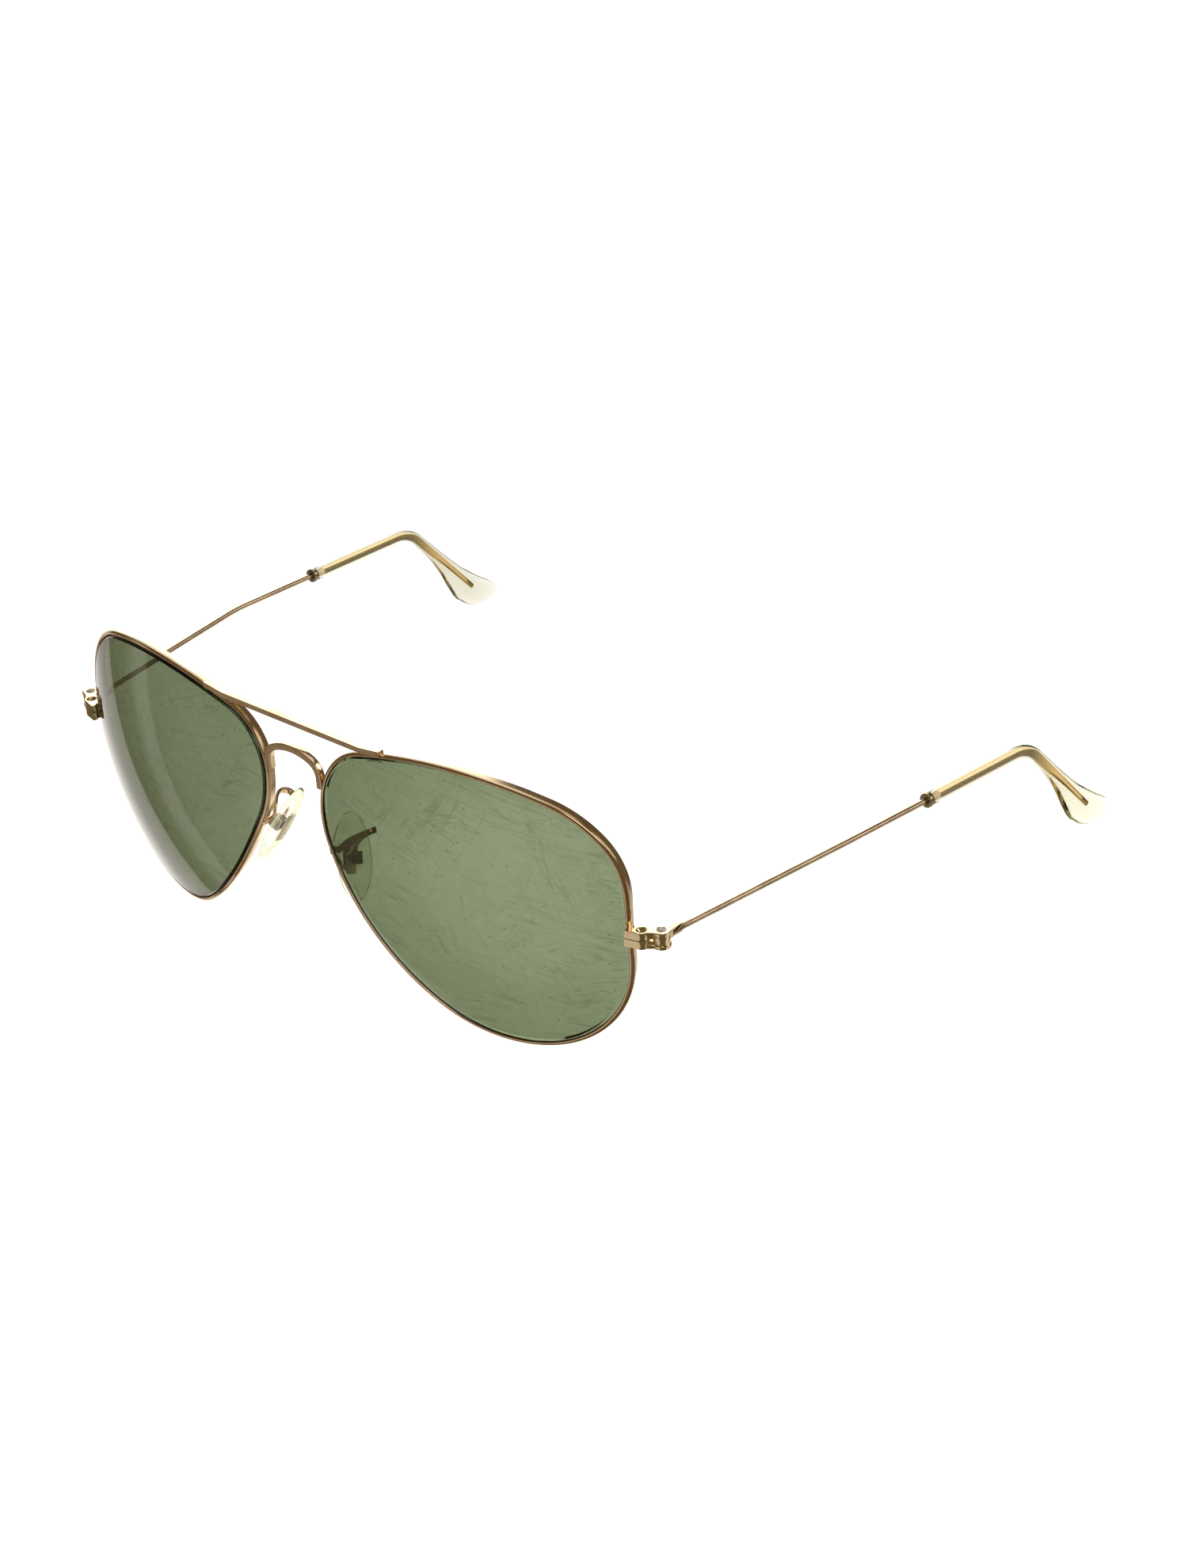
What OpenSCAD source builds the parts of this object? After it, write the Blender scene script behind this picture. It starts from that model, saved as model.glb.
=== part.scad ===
// Aviator sunglasses with a wire frame.
// Tear-drop glass lenses in grooved eyewires, a bent bridge and a straight brow bar,
// cable-thin temples with clear tips, rocking nose pads on looped arms.
// The glasses stand open on a table: z = 0 is the table, the lenses face -Y,
// +Z is up, and the temples run back along +Y. X = 0 is the middle of the nose.
// "left" and "right" are the wearer's. The left side is at +X.

/* [Lenses] */
// Distance from the middle of the nose to each lens centre
lens_x = 38.8; // [34:0.1:44]
// Height of the lens centres above the table
lens_z = 27.15; // [22:0.05:32]
// Degrees that each lens turns back at its outer side
wrap = 11.3; // [0:0.1:20]
// Degrees that the lenses lean forward at the top
lean = 2.5; // [0:0.1:10]
// Radius of the ball that the lens fronts follow
lens_r = 86; // [65:1:130]
// Lens thickness
lens_t = 2; // [1.4:0.1:3]

/* [Lens outline] */
// Half width of a lens at its outer side
side_u = 30.4; // [26:0.1:34]
// Radius of the nearly straight outer side
side_r = 310; // [100:5:600]
// Radius of the upper outer corner, first stretch
corner_r = 15.3; // [12:0.1:20]
// Radius of the upper outer corner, second stretch
shoulder_r = 21.2; // [16:0.1:28]
// Radius of the upper nose corner, first stretch
nose_r = 12.6; // [10:0.1:16]
// Radius of the upper nose corner, second stretch
cheek_r = 15.8; // [12:0.1:20]
// Radius of the lower point, nose side
drop_r = 24.9; // [20:0.1:30]
// Radius of the lower point, outer side
jowl_r = 23.3; // [18:0.1:28]

/* [Eyewires] */
// Width of an eyewire from front to back
wire_w = 1.8; // [1.4:0.1:2.4]
// How far an eyewire stands out past the lens outline
wire_out = 0.85; // [0.6:0.05:1.2]
// Gap cut through each eyewire at the closing block
split = 0.12; // [0.08:0.02:0.3]

/* [Bridge and brow bar] */
// Middle of the bridge wire from front to back
bridge_y = -11.45; // [-14:0.05:-9]
// Thickness of the bridge wire, seen from the front
bridge_t = 1.35; // [1:0.05:2]
// Depth of the bridge wire
bridge_d = 1.25; // [0.8:0.05:2]
// Distance from the middle of the nose to a bridge leg
leg_x = 6.5; // [5:0.1:8]
// Height where a bridge leg ends
leg_z = 41.8; // [38:0.1:44]
// Height where a bridge leg starts to curve
spring_z = 43.7; // [42:0.1:46]
// Bend radius of the bridge corners
bend_r = 3.4; // [2:0.1:5]
// Degrees that each bridge corner turns
bend_a = 68; // [50:1:80]
// Height of the underside of the brow bar
brow_z = 52.5; // [50:0.1:55]
// Height of the brow bar
brow_h = 1.05; // [0.8:0.05:1.5]
// Depth of the brow bar
brow_d = 1.35; // [1:0.05:2]
// Front face of the brow bar
brow_y = -11.7; // [-13:0.1:-9]
// Where the brow bar starts to bend up onto the eyewires
brow_bend_x = 17.5; // [12:0.1:20]
// Half length of the brow bar
brow_end_x = 22.4; // [18:0.1:26]
// Degrees that the ends of the brow bar bend up
brow_bend_a = 8; // [0:1:15]

/* [Closing blocks and hinges] */
// Distance from the middle of the nose to a closing screw
block_x = 70.7; // [66:0.1:76]
// Top of a closing block
block_top = 30.6; // [28:0.05:34]
// Height of a closing block
block_h = 3.2; // [2.6:0.1:4]
// Radius of a closing barrel
barrel_r = 1.35; // [1.1:0.05:1.8]
// Distance from the middle of the nose to a hinge screw
hinge_x = 73.4; // [70:0.1:78]
// Hinge screw behind the closing screw by
hinge_dy = 2.05; // [1.5:0.05:3]
// Radius of a hinge eye
eye_r = 1.6; // [1.3:0.05:2]
// Thickness of a hinge leaf
leaf_t = 0.7; // [0.5:0.05:0.9]
// Radius of a hinge screw
pin_r = 0.5; // [0.4:0.05:0.7]

/* [Temples] */
// Diameter of a temple wire
temple_d = 1.1; // [0.9:0.05:1.6]
// Length of the front run of a temple wire
front_run = 37.8; // [30:0.1:50]
// Degrees that the front run opens outward
splay = 7.4; // [0:0.1:12]
// Degrees that the back run opens outward
back_splay = 2.1; // [0:0.1:8]
// Length of the back run, as far as the ear bend
back_run = 44.7; // [40:0.1:60]
// Degrees that the back run slopes down
slope = 3.7; // [0:0.1:8]
// Bend radius at the ear
ear_r = 10; // [6:0.5:16]
// Degrees that the ear bend turns down
ear_a = 44.2; // [30:1:60]
// Length of the wire past the ear bend
tail_run = 22.9; // [12:0.5:26]
// Length of wire that the clear tip covers ahead of the ear bend
cover = 24.7; // [18:0.5:36]
// Radius of the clear tip where it is round
tip_r = 1.25; // [1.1:0.05:1.6]
// Radius of the collar at the front of a tip
collar_r = 1.4; // [1.2:0.05:1.8]
// Length of the collar
collar_l = 1.1; // [1:0.1:3]

/* [Nose pads] */
// Pad centre, measured from the middle of the nose
pad_x = 9.5; // [6:0.1:12]
// Pad centre from front to back
pad_y = -7.85; // [-12:0.05:-5]
// Pad centre above the table
pad_z = 27.25; // [22:0.05:32]
// Length of a pad
pad_l = 16.4; // [12:0.1:20]
// Width of a pad
pad_w = 7.6; // [6:0.1:10]
// Thickness of a pad's dished wall
pad_t = 1.0; // [0.8:0.05:1.5]
// Width of the ribbon that carries a pad
arm_w = 1.1; // [0.8:0.05:1.5]
// Thickness of that ribbon
arm_t = 0.5; // [0.4:0.05:0.8]

/* [Hidden] */
// Distance from the closing screws to the middle of the whole object, front to back
front_y = -54.62;
block_mid = block_top - block_h / 2;
gold = [0.80, 0.62, 0.38];
steel = [0.36, 0.35, 0.33];
glass = [0.30, 0.38, 0.26, 0.6];
clear_amber = [0.93, 0.90, 0.72, 0.6];
clear_pad = [0.90, 0.90, 0.78, 0.6];

$fn = 96;

// ---- lens outline: nine arcs that meet without corners, counter-clockwise from the outer side

turns = [2, 41, 30, 34, 64, 33, 30, 52, 74];
side_v = -3;

function total(list, n) = n <= 0 ? 0 : list[n - 1] + total(list, n - 1);
function heading(i) = 90 + total(turns, i);
function unit_step(i) = [
    sin(heading(i + 1)) - sin(heading(i)),
    cos(heading(i)) - cos(heading(i + 1))
];
function cross2(a, b) = a[0] * b[1] - a[1] * b[0];

// the brow and the lower nose side get the radii that close the outline
known = [side_r, corner_r, shoulder_r, 0, nose_r, cheek_r, 0, drop_r, jowl_r];
function walked(n) = n <= 0 ? [0, 0] : known[n - 1] * unit_step(n - 1) + walked(n - 1);
open_gap = -walked(9);
closing_det = cross2(unit_step(3), unit_step(6));
brow_r = cross2(open_gap, unit_step(6)) / closing_det;
flank_r = cross2(unit_step(3), open_gap) / closing_det;
radii = [side_r, corner_r, shoulder_r, brow_r, nose_r, cheek_r, flank_r, drop_r, jowl_r];

function arc_start(i) = i <= 0 ? [side_u, side_v] : arc_start(i - 1) + radii[i - 1] * unit_step(i - 1);
function outward(h) = [sin(h), -cos(h)];
// a station on the outline: [point, heading], at the part `t` of arc i
function station(i, t) =
    let (h = heading(i) + t * turns[i])
        [arc_start(i) + radii[i] * (outward(h) - outward(heading(i))), h];
function arc_stations(i) =
    let (n = ceil(turns[i] / 5))
        [for (k = [0:n - 1]) station(i, k / n)];
outline = [for (i = [0:8]) each arc_stations(i)];

// the filled outline, `outer` past the lens outline
module outline_plate(outer, height) {
    translate([0, 0, -height / 2])
        linear_extrude(height)
            polygon([for (s = outline) s[0] + outer * outward(s[1])]);
}

module ball_shell(front, back) {
    translate([0, 0, -lens_r])
        rotate([90, 0, 0])
            difference() {
                sphere(lens_r - front);
                sphere(lens_r - back);
            }
}

// puts a shape drawn around the lens centre, facing +Z, into place on the left
module at_lens() {
    translate([lens_x, front_y - 12.33, lens_z])
        rotate([0, 0, wrap])
            rotate([lean, 0, 0])
                rotate([90, 0, 0])
                    children();
}

// a skin over a list of rings with equal numbers of points, closed at both ends
module skin(rings) {
    n = len(rings[0]);
    count = len(rings);
    walls = [
        for (i = [0:count - 2])
            for (j = [0:n - 1])
                let (a = i * n + j, b = i * n + (j + 1) % n)
                    [a, b, b + n, a + n]
    ];
    first = [for (j = [n - 1:-1:0]) j];
    last = [for (j = [0:n - 1]) (count - 1) * n + j];
    polyhedron([for (r = rings) each r], concat([first], walls, [last]), convexity = 8);
}

// eyewire section: how far out, how far forward; a groove for the lens and one outside
rail = wire_w / 2;
eyewire_section = [
    [0.12, -rail], [wire_out - 0.12, -rail], [wire_out, 0.12 - rail], [wire_out, -0.22],
    [wire_out - 0.16, -0.08], [wire_out - 0.16, 0.14], [wire_out, 0.28], [wire_out, rail - 0.12],
    [wire_out - 0.12, rail], [0.12, rail], [0.12, 0.42], [0.5, 0.12], [0.5, -0.12], [0.12, -0.42]
];

function unit(v) = v / norm(v);
// the section's ring at a station, square to the ball that the lens follows
function eyewire_ring(s) =
    let (
        ball = lens_r - lens_t / 2,
        from_centre = [s[0][0], s[0][1], sqrt(ball * ball - s[0] * s[0])],
        ahead = from_centre / ball,
        flat = [outward(s[1])[0], outward(s[1])[1], 0],
        out = unit(flat - (flat * ahead) * ahead)
    )
        [for (q = eyewire_section) from_centre - [0, 0, lens_r] + q[0] * out + q[1] * ahead];

// the eyewire starts and ends at the slit in the closing block
slit = (block_mid - lens_z - side_v) / (side_r * turns[0] * PI / 180);
half_slit = split / 2 / (side_r * turns[0] * PI / 180);

module eyewire() {
    at_lens()
        skin([
            for (s = concat(
                [station(0, slit + half_slit)],
                [for (i = [1:8]) each arc_stations(i)],
                [station(0, 0), station(0, slit - half_slit)]
            ))
                eyewire_ring(s)
        ]);
}

module lens() {
    mid = lens_t / 2;
    at_lens() {
        intersection() {
            outline_plate(0.04, 30);
            ball_shell(0, lens_t);
        }
        intersection() {
            outline_plate(0.4, 30);
            ball_shell(mid - 0.12, mid + 0.12);
        }
    }
}

// ---- bridge and brow bar

module bar_arc(radius, angle, thick, depth) {
    rotate_extrude(angle = angle)
        translate([radius - thick / 2, -depth / 2])
            square([thick, depth]);
}

corner_out_x = leg_x - bend_r * (1 - cos(bend_a));
corner_out_z = spring_z + bend_r * sin(bend_a);
arch_r = corner_out_x / sin(90 - bend_a);
arch_z = corner_out_z - arch_r * cos(90 - bend_a);

module bridge_half() {
    translate([leg_x - bridge_t / 2, -bridge_d / 2, leg_z])
        cube([bridge_t, bridge_d, spring_z - leg_z]);
    translate([leg_x - bend_r, 0, spring_z])
        rotate([90, 0, 0])
            bar_arc(bend_r, bend_a, bridge_t, bridge_d);
}

module bridge_shape() {
    translate([0, front_y + bridge_y, 0]) {
        bridge_half();
        mirror([1, 0, 0])
            bridge_half();
        translate([0, 0, arch_z])
            rotate([90, 0, 0])
                rotate([0, 0, bend_a])
                    bar_arc(arch_r, 180 - 2 * bend_a, bridge_t, bridge_d);
    }
}

module brow_end() {
    translate([brow_bend_x, 0, 0])
        rotate([0, -brow_bend_a, 0])
            cube([(brow_end_x - brow_bend_x) / cos(brow_bend_a), brow_d, brow_h]);
}

module brow_shape() {
    translate([0, front_y + brow_y, brow_z]) {
        translate([-brow_bend_x, 0, 0])
            cube([2 * brow_bend_x, brow_d, brow_h]);
        brow_end();
        mirror([1, 0, 0])
            brow_end();
    }
}

// ---- closing blocks, hinges and screws

leaf_dx = hinge_x - block_x;
leaf_len = sqrt(leaf_dx * leaf_dx + hinge_dy * hinge_dy);
leaf_a = atan2(hinge_dy, leaf_dx);
knuckle_h = block_h - 2 * leaf_t - 0.12;
neck_l = 4.9;
// where the temple wire starts, from the hinge
wire_dx = 0.15;
wire_start = 3;

module at_block() {
    translate([block_x, front_y, 0])
        children();
}

module at_hinge() {
    translate([hinge_x, front_y + hinge_dy, 0])
        children();
}

// half a closing block, z measured up from the parting face
module block_half(height) {
    cylinder(r = barrel_r, h = height);
    // root, with a lip that laps over the front of the eyewire
    rotate([0, 0, 14])
        linear_extrude(height)
            polygon([
                [0, 0.75], [-2.45, 0.75], [-2.45, -0.45],
                [-2.8, -0.45], [-2.8, -barrel_r], [0, -barrel_r]
            ]);
    // web between the fork's leaves, up to the knuckle
    difference() {
        rotate([0, 0, leaf_a])
            translate([0, -0.9, 0.2])
                cube([leaf_len - eye_r + 0.4, 1.25, height - 0.4]);
        translate([leaf_dx, hinge_dy, -1])
            cylinder(r = eye_r, h = height + 2);
    }
}

// a hinge leaf with its eye
module leaf() {
    rotate([0, 0, leaf_a])
        translate([0, -1, 0])
            cube([leaf_len, 2, leaf_t]);
    translate([leaf_dx, hinge_dy, 0])
        cylinder(r = eye_r, h = leaf_t);
}

module upper_block() {
    at_block()
        difference() {
            union() {
                translate([0, 0, block_mid + split / 2])
                    block_half(block_h / 2 - split / 2);
                translate([0, 0, block_top - leaf_t])
                    leaf();
            }
            // closing screw hole with its countersink
            translate([0, 0, block_mid - 1])
                cylinder(r = 0.45, h = 4);
            translate([0, 0, block_top - 0.55])
                cylinder(r1 = 0.45, r2 = 1.0, h = 0.56);
            // hinge screw hole and the seat of its head
            translate([leaf_dx, hinge_dy, block_top - leaf_t - 1])
                cylinder(r = pin_r, h = 3);
            translate([leaf_dx, hinge_dy, block_top - 0.4])
                cylinder(r = 0.85, h = 1);
        }
}

module lower_block() {
    at_block()
        difference() {
            union() {
                translate([0, 0, block_top - block_h])
                    block_half(block_h / 2 - split / 2);
                translate([0, 0, block_top - block_h])
                    leaf();
            }
            translate([0, 0, block_top - block_h - 1])
                cylinder(r = 0.45, h = 4);
            translate([0, 0, block_top - block_h - 1])
                cylinder(r = 0.9, h = 1.5);
            translate([leaf_dx, hinge_dy, block_top - block_h - 1])
                cylinder(r = pin_r, h = 3);
        }
}

module closing_screw() {
    at_block()
        difference() {
            union() {
                translate([0, 0, block_top - block_h])
                    cylinder(r = 0.88, h = 0.48);
                translate([0, 0, block_top - block_h])
                    cylinder(r = 0.44, h = block_h - 0.75);
            }
            translate([-1.5, -0.12, block_top - block_h - 1])
                cube([3, 0.24, 1.2]);
        }
}

module hinge_screw() {
    at_hinge() {
        translate([0, 0, block_top - 0.39])
            cylinder(r = 0.83, h = 0.36);
        translate([0, 0, block_top - block_h - 0.15])
            cylinder(r = pin_r - 0.01, h = block_h);
    }
}

// the turning half of a hinge: an eye, and a neck with a channel for the wire
module knuckle() {
    at_hinge()
        translate([0, 0, block_mid - knuckle_h / 2])
            difference() {
                union() {
                    cylinder(r = eye_r - 0.1, h = knuckle_h);
                    translate([-0.42, 0, 0])
                        cube([0.87, neck_l, knuckle_h]);
                }
                translate([0, 0, -1])
                    cylinder(r = pin_r + 0.04, h = 5);
                translate([wire_dx - 0.6 * tan(splay), wire_start - 0.6, knuckle_h / 2])
                    rotate([-90, 0, -splay])
                        cylinder(r = temple_d / 2 + 0.01, h = 4);
            }
}

// ---- temples

soft_run = 6;

// directions along a temple: yaw opens outward, pitch slopes down
function along(yaw, pitch) = [sin(yaw) * cos(pitch), cos(yaw) * cos(pitch), -sin(pitch)];
function across(yaw) = [cos(yaw), -sin(yaw), 0];
function above(yaw, pitch) = [sin(yaw) * sin(pitch), cos(yaw) * sin(pitch), cos(pitch)];

// a place on a temple: [point, yaw, pitch], in the hinge's frame
function front_place(s) = [[wire_dx, wire_start, block_mid] + s * along(splay, 0), splay, 0];
function soft_place(k, n) = k <= 0 ? front_place(front_run) :
    let (
        before = soft_place(k - 1, n),
        yaw = splay + (back_splay - splay) * (k - 0.5) / n,
        pitch = slope * (k - 0.5) / n
    )
        [
            before[0] + soft_run / n * along(yaw, pitch),
            splay + (back_splay - splay) * k / n,
            slope * k / n
        ];
function back_place(s) = [soft_place(6, 6)[0] + s * along(back_splay, slope), back_splay, slope];
function ear_place(t) = [
    back_place(back_run)[0]
        + ear_r * (sin(slope + t) - sin(slope)) * along(back_splay, 0)
        + ear_r * (cos(slope + t) - cos(slope)) * [0, 0, 1],
    back_splay,
    slope + t
];
function tail_place(s) = [
    ear_place(ear_a)[0] + s * along(back_splay, slope + ear_a),
    back_splay,
    slope + ear_a
];

// an oval ring at a place: half height, half width sideways, and a shift down
function oval(place, high, wide, shift, n) =
    let (side = across(place[1]), up = above(place[1], place[2]))
        [
            for (j = [0:n - 1])
                let (a = 360 * j / n)
                    place[0] + wide * cos(a) * side + (high * sin(a) - shift) * up
        ];

function wire_rings(r, n) = concat(
    // the end is filed to a slanting point
    [oval(front_place(-0.4), 0.12, 0.3, 0.42, n)],
    [oval(front_place(2.2), r, r, 0, n)],
    [for (k = [0:6]) oval(soft_place(k, 6), r, r, 0, n)],
    [for (k = [0:8]) oval(ear_place(k * ear_a / 8), r, r, 0, n)],
    [oval(tail_place(tail_run), r, r, 0, n)]
);

module temple_wire() {
    at_hinge()
        skin(wire_rings(temple_d / 2, 16));
}

module collar() {
    p = back_place(back_run - cover - collar_l);
    at_hinge()
        translate(p[0])
            rotate([-90 - p[2], 0, -p[1]])
                difference() {
                    cylinder(r = collar_r, h = collar_l);
                    translate([0, 0, -1])
                        cylinder(r = temple_d / 2 + 0.01, h = collar_l + 2);
                }
}

// clear tip past the ear bend: distance along, shift down, half height, half thickness
paddle = [
    [0, 0, 1.28, 1.25], [5, 0, 1.38, 1.22], [11, 0.4, 1.84, 1.15], [16.5, 0.98, 2.75, 1.05],
    [20, 1.1, 3.35, 1.0], [22, 0.84, 3.42, 0.95], [24.5, 0.4, 3.42, 0.88], [27.9, -0.71, 3.07, 0.72],
    [29.5, -1.4, 2.5, 0.58], [30.7, -2.1, 1.75, 0.45], [31.6, -2.65, 0.55, 0.2]
];
tip_n = 20;

function tip_rings() =
    let (bore = temple_d / 2 + 0.01)
        concat(
            [oval(tail_place(tail_run + 0.02), bore, bore, 0, tip_n)],
            [for (k = [8:-1:0]) oval(ear_place(k * ear_a / 8), bore, bore, 0, tip_n)],
            [oval(back_place(back_run - cover), bore, bore, 0, tip_n)],
            [oval(back_place(back_run - cover), tip_r - 0.12, tip_r - 0.12, 0, tip_n)],
            [oval(back_place(back_run - cover + 0.2), tip_r, tip_r, 0, tip_n)],
            [for (k = [0:8]) oval(ear_place(k * ear_a / 8), tip_r + 0.004 * k, tip_r, 0, tip_n)],
            [
                for (k = [1:len(paddle) - 1])
                    for (t = [0.5, 1])
                        let (q = paddle[k - 1] + (paddle[k] - paddle[k - 1]) * t)
                            oval(tail_place(q[0]), q[2], q[3], q[1], tip_n)
            ]
        );

module tip() {
    at_hinge()
        skin(tip_rings());
}

// ---- nose pads

// frame on the left pad: +X away from the nose, +Y back across the pad, +Z up along it
module at_pad() {
    translate([pad_x, front_y + pad_y, pad_z])
        rotate([-19.3, -25.3, -7.8])
            children();
}

pad_n = 24;
// rings from the nose side over the rim into the hollow: [radius, share of the wall]
pad_rings = [
    [0.3, 0], [0.6, 0], [0.82, 0], [0.94, 0.08], [0.99, 0.28], [1, 0.52],
    [0.975, 0.8], [0.91, 0.96], [0.78, 1], [0.55, 1], [0.28, 1]
];
pad_hollow = 1.0;
pad_front = -1.3;
function pad_points() = concat(
    [[pad_front, 0, 0]],
    [
        for (q = pad_rings)
            for (j = [0:pad_n - 1])
                let (a = 360 * j / pad_n)
                    [
                        pad_front + pad_hollow * q[0] * q[0] + pad_t * q[1],
                        pad_w / 2 * q[0] * cos(a) * (1 - 0.07 * sin(a)),
                        pad_l / 2 * q[0] * sin(a)
                    ]
    ],
    [[pad_front + pad_t, 0, 0]]
);
function pad_faces() = concat(
    [for (j = [0:pad_n - 1]) [0, 1 + (j + 1) % pad_n, 1 + j]],
    [
        for (k = [0:len(pad_rings) - 2])
            for (j = [0:pad_n - 1])
                let (a = 1 + k * pad_n + j, b = 1 + k * pad_n + (j + 1) % pad_n)
                    [a, b, b + pad_n, a + pad_n]
    ],
    [
        for (j = [0:pad_n - 1])
            let (a = 1 + (len(pad_rings) - 1) * pad_n)
                [a + j, a + (j + 1) % pad_n, 1 + len(pad_rings) * pad_n]
    ]
);

pin_out = 0.95;
lug_t = 0.9;

module insert_shape() {
    translate([-0.95, -1.2, -2.8])
        cube([0.35, 2.4, 5.6]);
    translate([-0.8, -lug_t / 2, -0.55])
        cube([pin_out + 0.8, lug_t, 1.1]);
    translate([pin_out, lug_t / 2, 0])
        rotate([90, 0, 0])
            cylinder(r = 0.55, h = lug_t);
}

module pad_insert() {
    at_pad()
        difference() {
            insert_shape();
            translate([pin_out, 2, 0])
                rotate([90, 0, 0])
                    cylinder(r = 0.32, h = 4);
        }
}

module pad() {
    at_pad()
        difference() {
            polyhedron(pad_points(), pad_faces(), convexity = 4);
            insert_shape();
        }
}

module pad_box() {
    at_pad()
        difference() {
            translate([0.05, -1.15, -1.15])
                cube([1.95, 2.3, 2.3]);
            // the room in which the lug rocks
            translate([-0.5, -lug_t / 2 - 0.08, -0.85])
                cube([pin_out + 1.25, lug_t + 0.16, 1.7]);
            translate([pin_out, 2, 0])
                rotate([90, 0, 0])
                    cylinder(r = 0.27, h = 4);
        }
}

module pad_screw() {
    at_pad()
        translate([pin_out, 0, 0])
            rotate([90, 0, 0]) {
                translate([0, 0, -1.15])
                    cylinder(r = 0.26, h = 2.3);
                translate([0, 0, 1.15])
                    cylinder(r = 0.5, h = 0.3);
            }
}

// ribbon: the way it runs, from its foot on the eyewire to the box
arm_path = [
    [8.95, -12.9, 30.5], [8.8, -11.9, 30.1], [9, -10.9, 29.95], [9.25, -9.9, 30.1],
    [9.6, -9.1, 30.6], [10.3, -8.25, 31.35], [11.25, -7, 31.95], [11.9, -5.7, 32.25],
    [11.95, -4.5, 32.1], [11.4, -3.6, 31.6], [10.6, -3.5, 31.1], [9.9, -4.5, 30.65],
    [9.5, -5.8, 30.05], [9.5, -6.75, 29.35], [10, -7.27, 28.7]
];
arm_up = [-0.5, 0.19, 0.85];

function arm_dir(i) = unit(arm_path[min(i + 1, len(arm_path) - 1)] - arm_path[max(i - 1, 0)]);
function arm_side(i) = unit(cross(arm_dir(i), arm_up));
function arm_wide(i) = cross(arm_side(i), arm_dir(i));
function arm_ring(i) = [
    for (c = [[-1, -1], [1, -1], [1, 1], [-1, 1]])
        arm_path[i] + c[0] * arm_t / 2 * arm_side(i) + c[1] * arm_w / 2 * arm_wide(i)
];

module pad_arm() {
    translate([0, front_y, 0])
        skin([for (i = [len(arm_path) - 1:-1:0]) arm_ring(i)]);
}

// ---- nodes

module mirrored() {
    mirror([1, 0, 0])
        children();
}

module left_eyewire() { color(gold) eyewire(); }
module right_eyewire() { color(gold) mirrored() eyewire(); }
module left_lens() { color(glass) lens(); }
module right_lens() { color(glass) mirrored() lens(); }
module bridge() { color(gold) bridge_shape(); }
module brow_bar() { color(gold) brow_shape(); }
module left_upper_block() { color(gold) upper_block(); }
module right_upper_block() { color(gold) mirrored() upper_block(); }
module left_lower_block() { color(gold) lower_block(); }
module right_lower_block() { color(gold) mirrored() lower_block(); }
module left_closing_screw() { color(steel) closing_screw(); }
module right_closing_screw() { color(steel) mirrored() closing_screw(); }
module left_hinge_screw() { color(steel) hinge_screw(); }
module right_hinge_screw() { color(steel) mirrored() hinge_screw(); }
module left_knuckle() { color(gold) knuckle(); }
module right_knuckle() { color(gold) mirrored() knuckle(); }
module left_temple_wire() { color(gold) temple_wire(); }
module right_temple_wire() { color(gold) mirrored() temple_wire(); }
module left_collar() { color(gold) collar(); }
module right_collar() { color(gold) mirrored() collar(); }
module left_tip() { color(clear_amber) tip(); }
module right_tip() { color(clear_amber) mirrored() tip(); }
module left_pad_arm() { color(gold) pad_arm(); }
module right_pad_arm() { color(gold) mirrored() pad_arm(); }
module left_pad_box() { color(gold) pad_box(); }
module right_pad_box() { color(gold) mirrored() pad_box(); }
module left_pad_screw() { color(steel) pad_screw(); }
module right_pad_screw() { color(steel) mirrored() pad_screw(); }
module left_pad() { color(clear_pad) pad(); }
module right_pad() { color(clear_pad) mirrored() pad(); }
module left_pad_insert() { color(gold) pad_insert(); }
module right_pad_insert() { color(gold) mirrored() pad_insert(); }

left_eyewire();
right_eyewire();
left_lens();
right_lens();
bridge();
brow_bar();
left_upper_block();
right_upper_block();
left_lower_block();
right_lower_block();
left_closing_screw();
right_closing_screw();
left_hinge_screw();
right_hinge_screw();
left_knuckle();
right_knuckle();
left_temple_wire();
right_temple_wire();
left_collar();
right_collar();
left_tip();
right_tip();
left_pad_arm();
right_pad_arm();
left_pad_box();
right_pad_box();
left_pad_screw();
right_pad_screw();
left_pad();
right_pad();
left_pad_insert();
right_pad_insert();
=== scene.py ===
"""Aviator sunglasses: smooth metal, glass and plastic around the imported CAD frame."""
import math

import bmesh
import bpy
from mathutils import Matrix, Vector


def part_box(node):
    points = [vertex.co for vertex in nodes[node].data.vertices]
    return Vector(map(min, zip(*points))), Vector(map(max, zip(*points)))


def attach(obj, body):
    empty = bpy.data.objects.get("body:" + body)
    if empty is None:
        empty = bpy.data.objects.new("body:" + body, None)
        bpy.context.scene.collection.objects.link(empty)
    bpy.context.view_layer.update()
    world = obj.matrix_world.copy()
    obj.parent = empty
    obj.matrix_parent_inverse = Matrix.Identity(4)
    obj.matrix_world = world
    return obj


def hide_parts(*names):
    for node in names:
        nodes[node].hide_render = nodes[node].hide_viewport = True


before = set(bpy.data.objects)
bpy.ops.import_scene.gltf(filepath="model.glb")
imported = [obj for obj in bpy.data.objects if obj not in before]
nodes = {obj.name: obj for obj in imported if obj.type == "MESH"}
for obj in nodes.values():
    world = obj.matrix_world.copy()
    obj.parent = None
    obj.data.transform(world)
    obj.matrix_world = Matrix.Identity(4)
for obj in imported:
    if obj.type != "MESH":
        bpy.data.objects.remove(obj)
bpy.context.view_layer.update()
MM = 0.001
SIDES = (("left", 1), ("right", -1))


def middle(node):
    low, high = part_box(node)
    return (low + high) / 2


CLOSING = middle("left_closing_screw") / MM
HINGE = middle("left_hinge_screw") / MM
FRONT_Y = CLOSING.y
# height of the joint between the upper and the lower half of the closing block
BLOCK_MID = (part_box("left_upper_block")[1].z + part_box("left_lower_block")[0].z) / 2 / MM


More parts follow.
